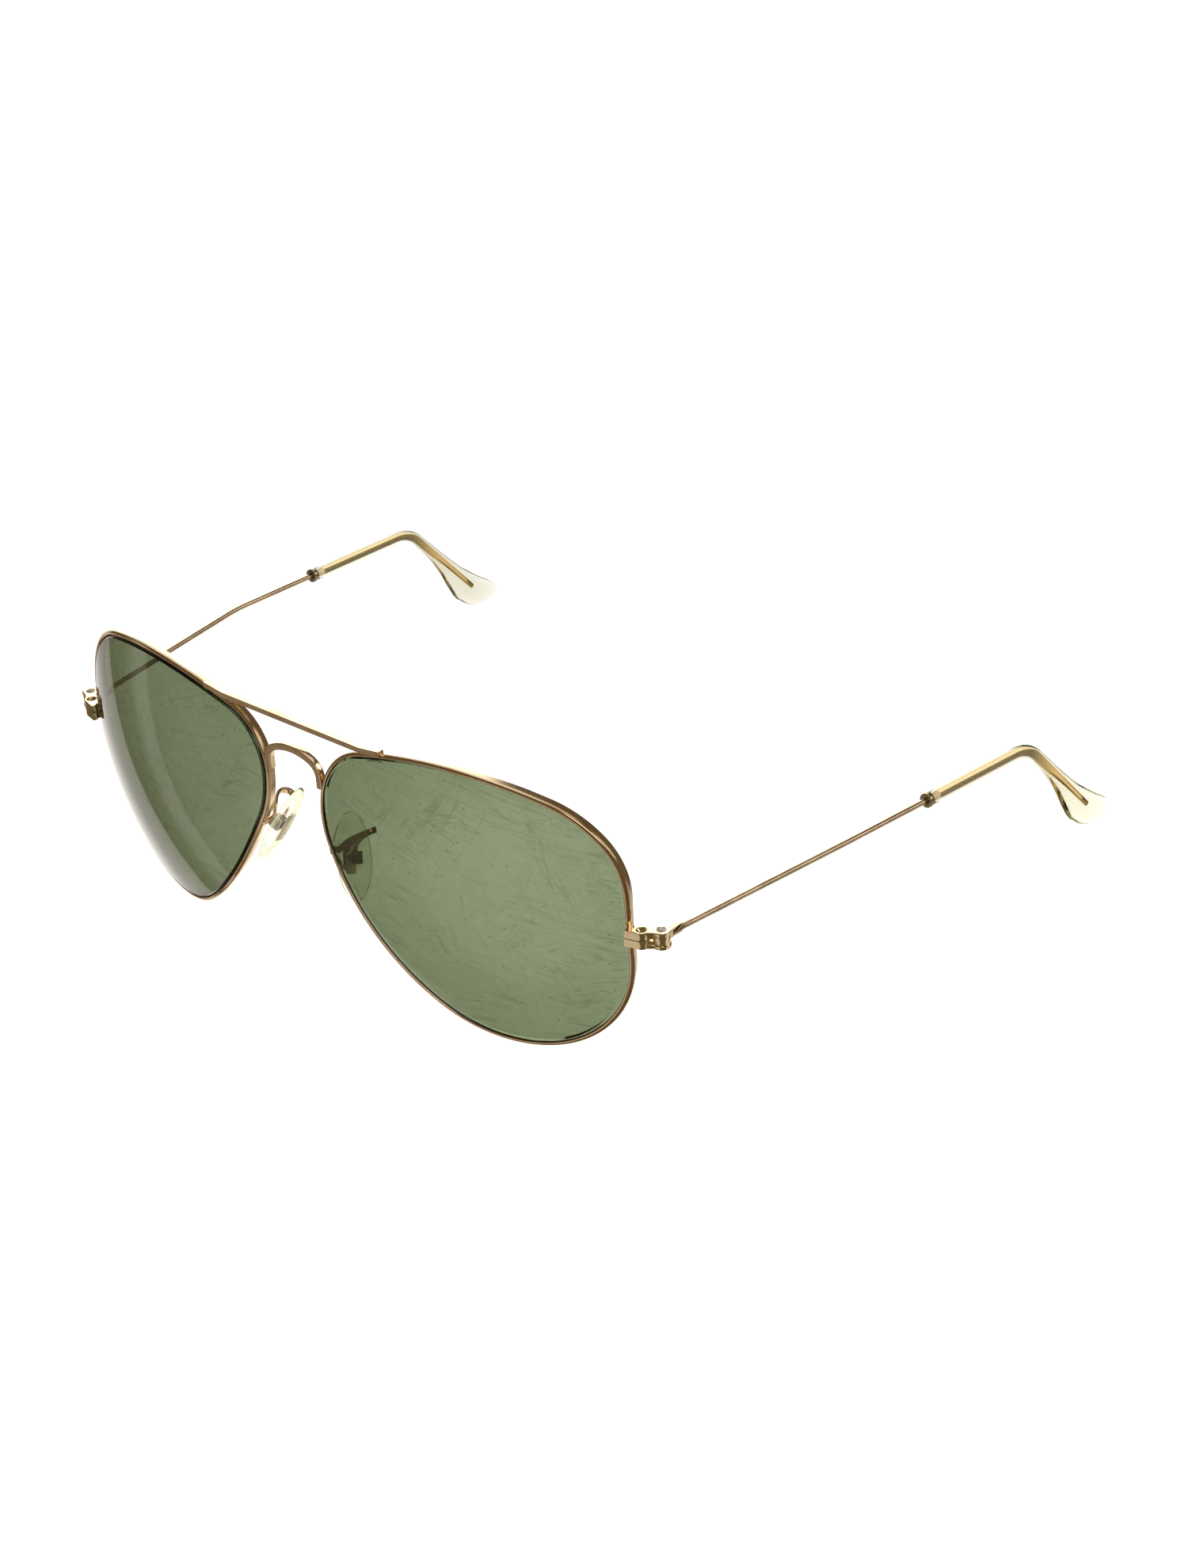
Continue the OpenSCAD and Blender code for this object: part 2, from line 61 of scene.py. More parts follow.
# ---------------------------------------------------------------- mesh helpers

def clamp(value):
    return min(max(value, 0), 1)


def finish_mesh(name, points, faces, side, body, material, replaced, sharp=35):
    """Makes one piece from points in millimetres; side -1 mirrors it to the right."""
    mesh = bpy.data.meshes.new(name)
    place = [(side * p[0] * MM, p[1] * MM, p[2] * MM) for p in points]
    if side < 0:
        faces = [tuple(reversed(f)) for f in faces]
    mesh.from_pydata(place, [], faces)
    mesh.validate()
    solid = bmesh.new()
    solid.from_mesh(mesh)
    bmesh.ops.recalc_face_normals(solid, faces=solid.faces)
    solid.to_mesh(mesh)
    solid.free()
    mesh.polygons.foreach_set("use_smooth", [True] * len(mesh.polygons))
    mesh.set_sharp_from_angle(angle=math.radians(sharp))
    mesh.materials.append(material)
    piece = bpy.data.objects.new(name, mesh)
    bpy.context.scene.collection.objects.link(piece)
    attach(piece, body)
    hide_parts(replaced)
    return piece


def let_light_pass(piece):
    """Keeps a piece from dimming what is under or behind it."""
    piece.visible_shadow = piece.visible_diffuse = False


def loft(rings, closed=False):
    """Points and faces of a skin over rings; an open one is capped at both ends."""
    n = len(rings[0])
    points = [p for ring in rings for p in ring]
    count = len(rings)
    faces = []
    for i in range(count if closed else count - 1):
        k = (i + 1) % count
        for j in range(n):
            m = (j + 1) % n
            faces.append((i * n + j, i * n + m, k * n + m, k * n + j))
    if not closed:
        faces.append(tuple(range(n - 1, -1, -1)))
        faces.append(tuple((count - 1) * n + j for j in range(n)))
    return points, faces


def rounded_box(wide, high, radius, steps=3):
    """A rectangle with round corners, counter-clockwise."""
    ring = []
    for sx, sy, start in ((1, 1, 0), (-1, 1, 90), (-1, -1, 180), (1, -1, 270)):
        for k in range(steps + 1):
            a = math.radians(start + 90 * k / steps)
            ring.append((sx * (wide / 2 - radius) + radius * math.cos(a),
                         sy * (high / 2 - radius) + radius * math.sin(a)))
    return ring


def smooth_path(points, steps):
    """Catmull-Rom points through a list of tuples of any length."""
    out = []
    last = len(points) - 1
    for i in range(last):
        p0, p1, p2, p3 = (points[max(i - 1, 0)], points[i], points[i + 1], points[min(i + 2, last)])
        for k in range(steps):
            t = k / steps
            out.append(tuple(
                0.5 * (2 * b + (c - a) * t + (2 * a - 5 * b + 4 * c - d) * t * t
                       + (3 * b - a - 3 * c + d) * t ** 3)
                for a, b, c, d in zip(p0, p1, p2, p3)))
    out.append(tuple(points[-1]))
    return out


# ---------------------------------------------------------------- materials

class Nodes:
    """Short calls for building a node material."""

    def __init__(self, name):
        self.material = bpy.data.materials.new(name)
        self.material.use_nodes = True
        self.tree = self.material.node_tree
        self.tree.nodes.clear()
        self.out = self.tree.nodes.new("ShaderNodeOutputMaterial")
        self.coords = self.tree.nodes.new("ShaderNodeTexCoord")
        self.place = self.coords.outputs["Object"]

    def put(self, socket, value):
        if isinstance(value, bpy.types.NodeSocket):
            self.tree.links.new(value, socket)
        else:
            socket.default_value = value

    def turned(self, angles, scale):
        """The place, turned by `angles` first and stretched by `scale` after that."""
        node = self.tree.nodes.new("ShaderNodeMapping")
        node.vector_type = "TEXTURE"
        self.put(node.inputs["Vector"], self.place)
        node.inputs["Rotation"].default_value = [math.radians(a) for a in angles]
        node.inputs["Scale"].default_value = [1 / k for k in scale]
        return node.outputs["Vector"]

    def noise(self, scale, detail=3.0, rough=0.55, vector=None):
        node = self.tree.nodes.new("ShaderNodeTexNoise")
        self.put(node.inputs["Vector"], vector or self.place)
        node.inputs["Scale"].default_value = scale
        node.inputs["Detail"].default_value = detail
        node.inputs["Roughness"].default_value = rough
        return node.outputs["Fac"]

    def dots(self, scale, radius):
        """Small round specks, `radius` in cells of a `scale` grid."""
        node = self.tree.nodes.new("ShaderNodeTexVoronoi")
        self.put(node.inputs["Vector"], self.place)
        node.inputs["Scale"].default_value = scale
        return self.ramp(node.outputs["Distance"], [(radius * 0.5, 1.0), (radius, 0.0)])

    def scratches(self, angle, spacing, width, amount):
        """Long thin lines at `angle` degrees that come and go in patches."""
        stretch = (18, 90, spacing)
        wave = self.noise(1.0, 1, 0.4, self.turned((0, angle, 0), stretch))
        off = self.math("ABSOLUTE", self.math("SUBTRACT", wave, 0.5))
        line = self.ramp(off, [(0.0, 1.0), (width, 0.0)])
        spread = self.turned((0, 3 * angle, angle), (95, 95, 95))
        patch = self.ramp(self.noise(1.0, 2, 0.5, spread), [(0.50, 0.0), (0.60, 1.0)])
        return self.math("MULTIPLY", self.math("MULTIPLY", line, patch), amount)

    def ramp(self, fac, stops):
        """A colour ramp; each stop is (position, grey value or colour)."""
        node = self.tree.nodes.new("ShaderNodeValToRGB")
        self.put(node.inputs["Fac"], fac)
        band = node.color_ramp
        while len(band.elements) < len(stops):
            band.elements.new(0.5)
        for element, (at, value) in zip(band.elements, stops):
            element.position = at
            colour = value if hasattr(value, "__len__") else (value, value, value)
            element.color = (*colour, 1)
        return node.outputs["Color"]

    def mix(self, fac, a, b, blend="MIX"):
        node = self.tree.nodes.new("ShaderNodeMix")
        node.data_type = "RGBA"
        node.blend_type = blend
        self.put(node.inputs["Factor"], fac)
        for socket, value in (("A", a), ("B", b)):
            target = [s for s in node.inputs if s.name == socket and s.type == "RGBA"][0]
            self.put(target, (*value, 1) if isinstance(value, tuple) and len(value) == 3 else value)
        return [s for s in node.outputs if s.type == "RGBA"][0]

    def scale_colour(self, colour, value):
        node = self.tree.nodes.new("ShaderNodeVectorMath")
        node.operation = "SCALE"
        node.inputs[0].default_value = colour
        self.put(node.inputs["Scale"], value)
        return node.outputs[0]

    def math(self, kind, a, b=0.0):
        node = self.tree.nodes.new("ShaderNodeMath")
        node.operation = kind
        self.put(node.inputs[0], a)
        self.put(node.inputs[1], b)
        return node.outputs[0]

    def xyz(self, vector):
        node = self.tree.nodes.new("ShaderNodeSeparateXYZ")
        self.put(node.inputs[0], vector)
        return [node.outputs[k] for k in "XYZ"]

    def span(self, value, start, end, low=0.0, high=1.0, kind="SMOOTHSTEP"):
        """`low` up to `start`, `high` from `end` on, and a slope of `kind` between them."""
        node = self.tree.nodes.new("ShaderNodeMapRange")
        node.interpolation_type = kind
        for key, number in (("From Min", start), ("From Max", end), ("To Min", low), ("To Max", high)):
            node.inputs[key].default_value = number
        self.put(node.inputs["Value"], value)
        return node.outputs["Result"]

    def tint(self, colour, density):
        """Colour that deepens with thickness."""
        node = self.tree.nodes.new("ShaderNodeVolumeAbsorption")
        node.inputs["Color"].default_value = (*colour, 1)
        node.inputs["Density"].default_value = density
        self.tree.links.new(node.outputs[0], self.out.inputs["Volume"])

    def bump(self, height, strength, distance):
        node = self.tree.nodes.new("ShaderNodeBump")
        node.inputs["Strength"].default_value = strength
        node.inputs["Distance"].default_value = distance
        self.put(node.inputs["Height"], height)
        return node.outputs["Normal"]

    def principled(self, **inputs):
        node = self.tree.nodes.new("ShaderNodeBsdfPrincipled")
        for key, value in inputs.items():
            self.put(node.inputs[key.replace("_", " ")], value)
        self.tree.links.new(node.outputs[0], self.out.inputs["Surface"])


def aged_gold(name, light, dark, patina, wear=0.5, rough=(0.07, 0.17)):
    """Gold plate gone coppery: cloudy tone, a few dark patina spots and faint rubbing."""
    m = Nodes(name)
    cloud = m.ramp(m.noise(150, 3, 0.55), [(0.38, 0.0), (0.64, 1.0)])
    tone = m.mix(cloud, light, dark)
    spots = m.ramp(m.noise(620, 3, 0.6), [(0.60 + 0.06 * (1 - wear), 0.0), (0.72, 1.0)])
    tone = m.mix(m.math("MULTIPLY", spots, 0.6), tone, patina)
    roughness = m.ramp(m.noise(380, 3, 0.6), [(0.32, rough[0]), (0.7, rough[1])])
    m.principled(Base_Color=tone, Metallic=1.0, Roughness=roughness,
                 Normal=m.bump(m.noise(1500, 2, 0.5), 0.06, 0.00003))
    return m.material


# where along the temple the clear tip begins and where its bend is, in metres
TIP_BEGINS, BEND_BEGINS = (0.0160, 0.0163), (0.043, 0.050)


def core_gold():
    """The temple's wire: aged gold, and under the clear tip painted shade with a painted highlight along
    its top, then orange.
    """
    m = Nodes("temple_gold")
    cloud = m.ramp(m.noise(150, 3, 0.55), [(0.38, 0.0), (0.64, 1.0)])
    tone = m.mix(cloud, (0.62, 0.49, 0.33), (0.40, 0.31, 0.21))
    spots = m.ramp(m.noise(620, 3, 0.6), [(0.58, 0.0), (0.72, 1.0)])
    tone = m.mix(m.math("MULTIPLY", spots, 0.55), tone, (0.28, 0.19, 0.10))
    along = m.xyz(m.place)[1]
    covered = m.span(along, *TIP_BEGINS, kind="LINEAR")
    bent = m.span(along, *BEND_BEGINS, kind="LINEAR")
    # painted light under the tip's straight part: dark painted shade, and a painted highlight where the
    # surface faces up
    upward = m.xyz(m.coords.outputs["Normal"])[2]
    top = m.ramp(upward, [(0.72, 0.0), (0.80, 1.0)])
    painted_shade_and_highlight = m.mix(top, (0.19, 0.145, 0.075), (0.88, 0.70, 0.42))
    under = m.mix(bent, painted_shade_and_highlight, (0.66, 0.45, 0.20))
    tone = m.mix(covered, tone, under)
    m.principled(Base_Color=tone, Metallic=1.0,
                 Roughness=m.ramp(m.noise(380, 3, 0.6), [(0.32, 0.12), (0.7, 0.26)]),
                 Normal=m.bump(m.noise(1500, 2, 0.5), 0.05, 0.00003))
    return m.material


def dull_steel():
    """Grey, pitted screw steel."""
    m = Nodes("screw_steel")
    tone = m.mix(m.ramp(m.noise(900, 4, 0.6), [(0.35, 0.0), (0.7, 1.0)]),
                 (0.30, 0.29, 0.26), (0.16, 0.14, 0.11))
    m.principled(Base_Color=tone, Metallic=1.0,
                 Roughness=m.ramp(m.noise(1400, 3, 0.6), [(0.3, 0.28), (0.7, 0.5)]),
                 Normal=m.bump(m.noise(3000, 3, 0.6), 0.2, 0.00003))
    return m.material


# angle in degrees, spacing, width and amount of each set of scratches
SCRATCHES = (
    (9, 1300, 0.05, 0.18), (12, 560, 0.017, 0.55), (-56, 360, 0.011, 0.44),
    (66, 300, 0.010, 0.44), (-12, 430, 0.014, 0.5),
)


def green_glass():
    """Ground green glass: fine scratches, dust and smears on a clear tint."""
    m = Nodes("green_glass")
    smear = m.ramp(m.noise(520, 5, 0.75), [(0.36, 0.0), (0.64, 1.0)])
    haze = m.ramp(m.noise(75, 3, 0.6), [(0.35, 0.0), (0.7, 1.0)])
    tone = m.mix(smear, (1.0, 1.0, 0.99), (0.88, 0.90, 0.86))
    tone = m.mix(haze, tone, (0.96, 0.965, 0.95), "MULTIPLY")
    for scratch in SCRATCHES:
        tone = m.mix(m.scratches(*scratch), tone, (0.34, 0.36, 0.31))
    tone = m.mix(m.math("MULTIPLY", m.dots(400, 0.085), 0.85), tone, (0.12, 0.12, 0.08))
    m.principled(Base_Color=tone, Transmission_Weight=1.0, IOR=1.52, Roughness=0.012)
    m.tint((0.298, 0.370, 0.149), 1100)
    return m.material


def clear_plastic(name, tint, density, clouds, rough, clear, bend):
    """Aged clear plastic: `clear` is its transmission and `bend` its refractive index.

    The index is lower than real acetate's, which turned the edges black.
    """
    m = Nodes(name)
    tone = m.mix(m.ramp(m.noise(160, 3, 0.6), [(0.35, 0.0), (0.75, 1.0)]), *clouds)
    specks = m.ramp(m.noise(1300, 1, 0.4), [(0.74, 0.0), (0.8, 1.0)])
    tone = m.mix(m.math("MULTIPLY", specks, 0.3), tone, (0.5, 0.45, 0.3))
    m.principled(Base_Color=tone, Transmission_Weight=clear, IOR=bend, Roughness=rough,
                 Normal=m.bump(m.noise(300, 2, 0.5), 0.05, 0.00006))
    m.tint(tint, density)
    return m.material


GOLD = aged_gold("aged_gold", (0.88, 0.69, 0.46), (0.76, 0.55, 0.33), (0.34, 0.22, 0.11))
BRASS = aged_gold("hinge_gold", (0.90, 0.74, 0.48), (0.78, 0.61, 0.36), (0.46, 0.34, 0.17), 0.2)
WIRE = core_gold()
STEEL = dull_steel()
GLASS = green_glass()
AMBER = clear_plastic("amber_tip", (0.56, 0.53, 0.30), 330, ((0.98, 0.975, 0.95), (0.95, 0.94, 0.89)),
                      0.03, 1.0, 1.27)
PAD = clear_plastic("clear_pad", (0.68, 0.69, 0.42), 300, ((0.98, 0.98, 0.95), (0.94, 0.95, 0.88)),
                    0.05, 0.95, 1.20)
BRONZE = aged_gold("dull_bronze", (0.50, 0.42, 0.28), (0.36, 0.29, 0.18), (0.22, 0.16, 0.10),
                   rough=(0.2, 0.35))
COPPER = aged_gold("coppery_gold", (0.70, 0.49, 0.32), (0.50, 0.33, 0.21), (0.25, 0.15, 0.08))

# ---------------------------------------------------------------- lenses and eyewires

# all lengths below are in millimetres and angles in degrees
LENS_X, LENS_DY, LENS_Z = 38.8, -12.33, 27.15
WRAP, LEAN = 11.3, 2.5
LENS_R, LENS_T = 86.0, 2.0
# the outline is nine arcs: how far each turns and its radius, where the brow's and the flank's
# radius (0 here) follow from the closed line
TURNS = (2, 41, 30, 34, 64, 33, 30, 52, 74)
KNOWN = (310, 15.3, 21.2, 0, 12.6, 15.8, 0, 24.9, 23.3)
BROW, FLANK = 3, 6
START = Vector((30.4, -3.0))
OUTLINE_STEP = 1.5


def outward(h):
    return Vector((math.sin(math.radians(h)), -math.cos(math.radians(h))))


HEADINGS = [90 + sum(TURNS[:i]) for i in range(len(TURNS) + 1)]
STEPS = [outward(b) - outward(a) for a, b in zip(HEADINGS, HEADINGS[1:])]
GAP = -sum((radius * step for radius, step in zip(KNOWN, STEPS)), Vector((0, 0)))


def cross(a, b):
    return a.x * b.y - a.y * b.x


RADII = list(KNOWN)
RADII[BROW] = cross(GAP, STEPS[FLANK]) / cross(STEPS[BROW], STEPS[FLANK])
RADII[FLANK] = cross(STEPS[BROW], GAP) / cross(STEPS[BROW], STEPS[FLANK])


def outline():
    """(point, outward direction) round the lens, no further apart than OUTLINE_STEP or 2 mm."""
    found, at = [], START.copy()
    for i, turn in enumerate(TURNS):
        count = max(math.ceil(turn / OUTLINE_STEP), math.ceil(RADII[i] * math.radians(turn) / 2))
        for k in range(count):
            h = HEADINGS[i] + turn * k / count
            found.append((at + RADII[i] * (outward(h) - outward(HEADINGS[i])), outward(h)))
        at = at + RADII[i] * STEPS[i]
    return found


LENS_PLACE = (Matrix.Translation((LENS_X, FRONT_Y + LENS_DY, LENS_Z))
              @ Matrix.Rotation(math.radians(WRAP), 4, "Z")
              @ Matrix.Rotation(math.radians(LEAN), 4, "X")
              @ Matrix.Rotation(math.radians(90), 4, "X"))


def on_ball(uv, depth):
    """A point in place, over the outline's plane point, `depth` behind the lens front."""
    ball = LENS_R - depth
    return LENS_PLACE @ Vector((uv.x, uv.y, math.sqrt(ball * ball - uv.length_squared) - LENS_R))


# (out, ahead) points: a flat outer face, a fine groove, a front bead and the lens groove
EYEWIRE_SECTION = [
    (0.50, 0.10), (0.50, -0.10), (0.10, -0.42), (0.08, -0.86), (0.16, -0.96), (0.66, -0.96),
    (0.82, -0.93), (0.90, -0.87), (0.93, -0.80), (0.93, -0.76), (0.93, 0.44), (0.93, 0.48),
    (0.90, 0.54), (0.84, 0.58), (0.82, 0.62), (0.85, 0.67), (0.88, 0.73), (0.86, 0.82),
    (0.77, 0.91), (0.62, 0.96), (0.36, 0.97), (0.16, 0.93), (0.08, 0.82), (0.10, 0.42),
]
# the section's points past these move with the extra width and depth
OUTER_FROM, BACK_FROM = 0.55, -0.5
EXTRA_WIDE, EXTRA_DEEP = 0.25, 0.8
# the extra depth grows outwards from DEEP_U over 16 mm, and upwards from DEEP_V over 4 mm, clear
# of the folded temple
DEEP_U, DEEP_V = -4, BLOCK_MID - LENS_Z + 1.5


def make_eyewire(word, side):
    """The rim, wider on the temple side and deeper at the back on its upper outer part."""
    ball = LENS_R - LENS_T / 2
    turn = LENS_PLACE.to_3x3()
    rings = []
    for uv, out2 in outline():
        centre = Vector((uv.x, uv.y, math.sqrt(ball * ball - uv.length_squared)))
        ahead = centre / ball
        flat = Vector((out2.x, out2.y, 0))
        out = (flat - flat.dot(ahead) * ahead).normalized()
        start = LENS_PLACE @ (centre - Vector((0, 0, LENS_R)))
        wider = EXTRA_WIDE * max(out2.x, 0) ** 2
        deeper = EXTRA_DEEP * clamp((uv.x - DEEP_U) / 16) * clamp((uv.y - DEEP_V) / 4)
        rings.append([start + turn @ ((u + (wider if u > OUTER_FROM else 0)) * out
                                      + (v - (deeper if v < BACK_FROM else 0)) * ahead)
                      for u, v in EYEWIRE_SECTION])
    points, faces = loft(rings, closed=True)
    piece = finish_mesh(word + "_eyewire_rail", points, faces, side, "front", GOLD,
                        word + "_eyewire", 60)
    let_light_pass(piece)


FRONT_INSET, BACK_INSET = 0.2, 0.6
# (out, depth) of the lens edge: the bevel's end, the V's point and the back of the V
LENS_EDGE = ((0.02, 0.20), (0.30, 0.75), (0.02, 1.3))


def make_lens(word, side):
    """Front and back bowls, a ground bevel round the front and a V edge in the groove."""
    line = outline()
    n = len(line)
    shares = (0.12, 0.25, 0.38, 0.5, 0.61, 0.71, 0.8, 0.88, 0.94, 0.98, 1.0)
    points, faces, starts = [on_ball(Vector((0, 0)), 0)], [], []

    def ring(out_by, depth, share=1.0):
        starts.append(len(points))
        points.extend(on_ball((uv + out_by * out) * share, depth) for uv, out in line)

    for share in shares:
        ring(-FRONT_INSET, 0, share)
    for out_by, depth in LENS_EDGE:
        ring(out_by, depth)
    for share in reversed(shares):
        ring(-BACK_INSET, LENS_T, share)
    points.append(on_ball(Vector((0, 0)), LENS_T))
    for a, b in zip(starts, starts[1:]):
        for j in range(n):
            m = (j + 1) % n
            faces.append((a + j, b + j, b + m, a + m))
    for j in range(n):
        m = (j + 1) % n
        faces.append((0, starts[0] + j, starts[0] + m))
        faces.append((len(points) - 1, starts[-1] + m, starts[-1] + j))
    piece = finish_mesh(word + "_lens_glass", points, faces, side, "front", GLASS,
                        word + "_lens", 12)
    let_light_pass(piece)


# ---------------------------------------------------------------- bridge

LEG_X, LEG_Z, SPRING_Z = 6.5, 41.8, 43.7
BEND_R, BEND_A = 3.4, 68
BRIDGE_T, BRIDGE_D, BRIDGE_DY = 1.35, 1.25, -11.45


def make_bridge():
    """Two upright legs, two tight bends and a shallow arch, as one wire."""
    out_x = LEG_X - BEND_R * (1 - math.cos(math.radians(BEND_A)))
    out_z = SPRING_Z + BEND_R * math.sin(math.radians(BEND_A))
    arch_r = out_x / math.sin(math.radians(90 - BEND_A))
    arch_z = out_z - arch_r * math.cos(math.radians(90 - BEND_A))
    path = [(LEG_X, LEG_Z + t, 0.0) for t in (0.0, 0.06, 0.6, SPRING_Z - LEG_Z - 0.3)]
    for k in range(13):
        a = BEND_A * k / 12
        path.append((LEG_X - BEND_R + BEND_R * math.cos(math.radians(a)),
                     SPRING_Z + BEND_R * math.sin(math.radians(a)), a))
    for k in range(1, 13):
        a = BEND_A + (90 - BEND_A) * k / 12
        path.append((arch_r * math.cos(math.radians(a)), arch_z + arch_r * math.sin(math.radians(a)), a))
    path += [(-x, z, 180 - a) for x, z, a in reversed(path[:-1])]
    section = rounded_box(BRIDGE_T, BRIDGE_D, 0.17)
    y = FRONT_Y + BRIDGE_DY
    rings = []
    for i, (x, z, a) in enumerate(path):
        shrink = 0.8 if i in (0, len(path) - 1) else 1.0
        c, s = math.cos(math.radians(a)), math.sin(math.radians(a))
        rings.append([Vector((x + shrink * q[0] * c, y - shrink * q[1], z + shrink * q[0] * s))
                      for q in section])
    points, faces = loft(rings)
    finish_mesh("bridge_wire", points, faces, 1, "front", GOLD, "bridge")


# ---------------------------------------------------------------- temples

TEMPLE_R = 0.55
WIRE_DX, WIRE_START = 0.15, 3.0
FRONT_RUN, SOFT_RUN, BACK_RUN = 37.8, 6.0, 44.7
SPLAY, BACK_SPLAY = 7.4, 2.1
SLOPE = 3.7
EAR_R, EAR_A = 10.0, 44.2
TAIL_RUN, COVER = 22.9, 24.7
TIP_R = 1.25
# the tip past its bend: (distance, drop, half height, half width)
PADDLE = [
    (0, 0, 1.28, 1.25), (5, 0, 1.38, 1.22), (11, 0.4, 1.84, 1.15), (16.5, 0.98, 2.75, 1.05),
    (20, 1.1, 3.35, 1.0), (22, 0.84, 3.42, 0.95), (24.5, 0.4, 3.42, 0.88), (27.9, -0.71, 3.07, 0.72),
    (29.5, -1.4, 2.5, 0.58), (30.7, -2.1, 1.75, 0.45), (31.6, -2.65, 0.55, 0.2),
]


def along(yaw, pitch):
    """The direction back along a temple."""
    y, p = math.radians(yaw), math.radians(pitch)
    return Vector((math.sin(y) * math.cos(p), math.cos(y) * math.cos(p), -math.sin(p)))


# each place along the temple is (point, yaw, pitch)

def front_place(s):
    start = Vector((HINGE.x + WIRE_DX, HINGE.y + WIRE_START, BLOCK_MID))
    return start + s * along(SPLAY, 0), SPLAY, 0.0


def soft_places(n):
    places = [front_place(FRONT_RUN)]
    for k in range(n):
        yaw = SPLAY + (BACK_SPLAY - SPLAY) * (k + 0.5) / n
        pitch = SLOPE * (k + 0.5) / n
        places.append((places[-1][0] + SOFT_RUN / n * along(yaw, pitch),
                       SPLAY + (BACK_SPLAY - SPLAY) * (k + 1) / n, SLOPE * (k + 1) / n))
    return places


SOFT = soft_places(6)


def back_place(s):
    return SOFT[-1][0] + s * along(BACK_SPLAY, SLOPE), BACK_SPLAY, SLOPE


def ear_place(t):
    a, b = math.radians(SLOPE + t), math.radians(SLOPE)
    shift = EAR_R * (math.sin(a) - math.sin(b)) * along(BACK_SPLAY, 0)
    drop = Vector((0, 0, EAR_R * (math.cos(a) - math.cos(b))))
    return back_place(BACK_RUN)[0] + shift + drop, BACK_SPLAY, SLOPE + t


def tail_place(s):
    return ear_place(EAR_A)[0] + s * along(BACK_SPLAY, SLOPE + EAR_A), BACK_SPLAY, SLOPE + EAR_A


def oval(place, high, wide, shift, n, power=1.0):
    """A ring of n points across the temple, lowered by `shift`; a power under 1 squares it."""
    point, yaw, pitch = place
    y, p = math.radians(yaw), math.radians(pitch)
    side = Vector((math.cos(y), -math.sin(y), 0))
    up = Vector((math.sin(y) * math.sin(p), math.cos(y) * math.sin(p), math.cos(p)))
    ring = []
    for j in range(n):
        a = 2 * math.pi * j / n
        c, s = math.cos(a), math.sin(a)
        ring.append(point + wide * math.copysign(abs(c) ** power, c) * side
                    + (high * math.copysign(abs(s) ** power, s) - shift) * up)
    return ring


# the flattened start of the wire, on the knuckle: (distance, half height, half width, drop)
WIRE_FOOT = (
    (-0.4, 0.10, 0.26, 0.44), (-0.25, 0.17, 0.34, 0.37), (0.6, 0.32, 0.47, 0.22),
    (1.6, 0.49, 0.54, 0.05),
)


def make_temple_wire(word, side):
    n = 24
    places = [front_place(2.2)]
    places += [front_place(FRONT_RUN * k / 8) for k in range(1, 8)]
    places += SOFT
    places += [back_place(BACK_RUN * k / 8) for k in range(1, 8)]
    places += [ear_place(EAR_A * k / 12) for k in range(13)]
    places += [tail_place(TAIL_RUN * k / 6) for k in range(1, 6)]
    places += [tail_place(TAIL_RUN - 0.15)]
    rings = [oval(front_place(d), high, wide, drop, n) for d, high, wide, drop in WIRE_FOOT]
    rings += [oval(place, TEMPLE_R, TEMPLE_R, 0, n) for place in places]
    rings += [oval(tail_place(TAIL_RUN), 0.4, 0.4, 0, n)]
    points, faces = loft(rings)
    finish_mesh(word + "_temple_cable", points, faces, side, word + "_temple", WIRE,
                word + "_temple_wire", 60)


def make_tip(word, side):
    """The clear cover: a round tube over the bend that flattens into a paddle."""
    n = 40
    start = BACK_RUN - COVER
    rings = [oval(back_place(start + d), r, r, 0, n) for d, r in
             ((0.0, TIP_R - 0.30), (0.03, TIP_R - 0.14), (0.12, TIP_R - 0.04), (0.3, TIP_R))]
    rings += [oval(back_place(start + COVER * k / 8), TIP_R, TIP_R, 0, n) for k in range(1, 8)]
    rings += [oval(ear_place(EAR_A * k / 20), TIP_R + 0.0015 * k, TIP_R, 0, n) for k in range(20)]
    for distance, drop, high, wide in smooth_path(PADDLE, 6):
        flat = clamp((distance - 5) / 12)
        rings.append(oval(tail_place(distance), high, wide, drop, n, 1.0 - 0.12 * flat))
    points, faces = loft(rings)
    piece = finish_mesh(word + "_tip_cover", points, faces, side, word + "_temple", AMBER,
                        word + "_tip", 80)
    let_light_pass(piece)


# ---------------------------------------------------------------- nose pads

PAD_X, PAD_DY, PAD_Z = 9.5, -7.85, 27.25
PAD_L, PAD_W, PAD_T = 16.4, 7.6, 1.0
PAD_FRONT, PAD_HOLLOW = -1.3, 1.0
PAD_PLACE = (Matrix.Translation((PAD_X, FRONT_Y + PAD_DY, PAD_Z))
             @ Matrix.Rotation(math.radians(-7.8), 4, "Z")
             @ Matrix.Rotation(math.radians(-25.3), 4, "Y")
             @ Matrix.Rotation(math.radians(-19.3), 4, "X"))


def make_pad(word, side):
    """A dished tear-drop cushion of clear plastic with a fat round rim."""
    n = 64
    profile = [(r, 0.0) for r in (0.12, 0.3, 0.48, 0.65, 0.8)]
    profile += [(0.90 + 0.10 * math.sin(math.radians(a)), 0.52 - 0.52 * math.cos(math.radians(a)))
                for a in range(15, 166, 15)]
    profile += [(r, 1.0) for r in (0.88, 0.76, 0.6, 0.44, 0.28, 0.12)]
    rings = []
    for r, share in profile:
        rings.append([PAD_PLACE @ Vector((
            PAD_FRONT + PAD_HOLLOW * r * r + PAD_T * share,
            PAD_W / 2 * r * math.cos(a) * (1 - 0.07 * math.sin(a)),
            PAD_L / 2 * r * math.sin(a))) for a in (2 * math.pi * j / n for j in range(n))])
    points, faces = loft(rings)
    piece = finish_mesh(word + "_pad_cushion", points, faces, side, word + "_nose_pad", PAD,
                        word + "_pad", 80)
    let_light_pass(piece)


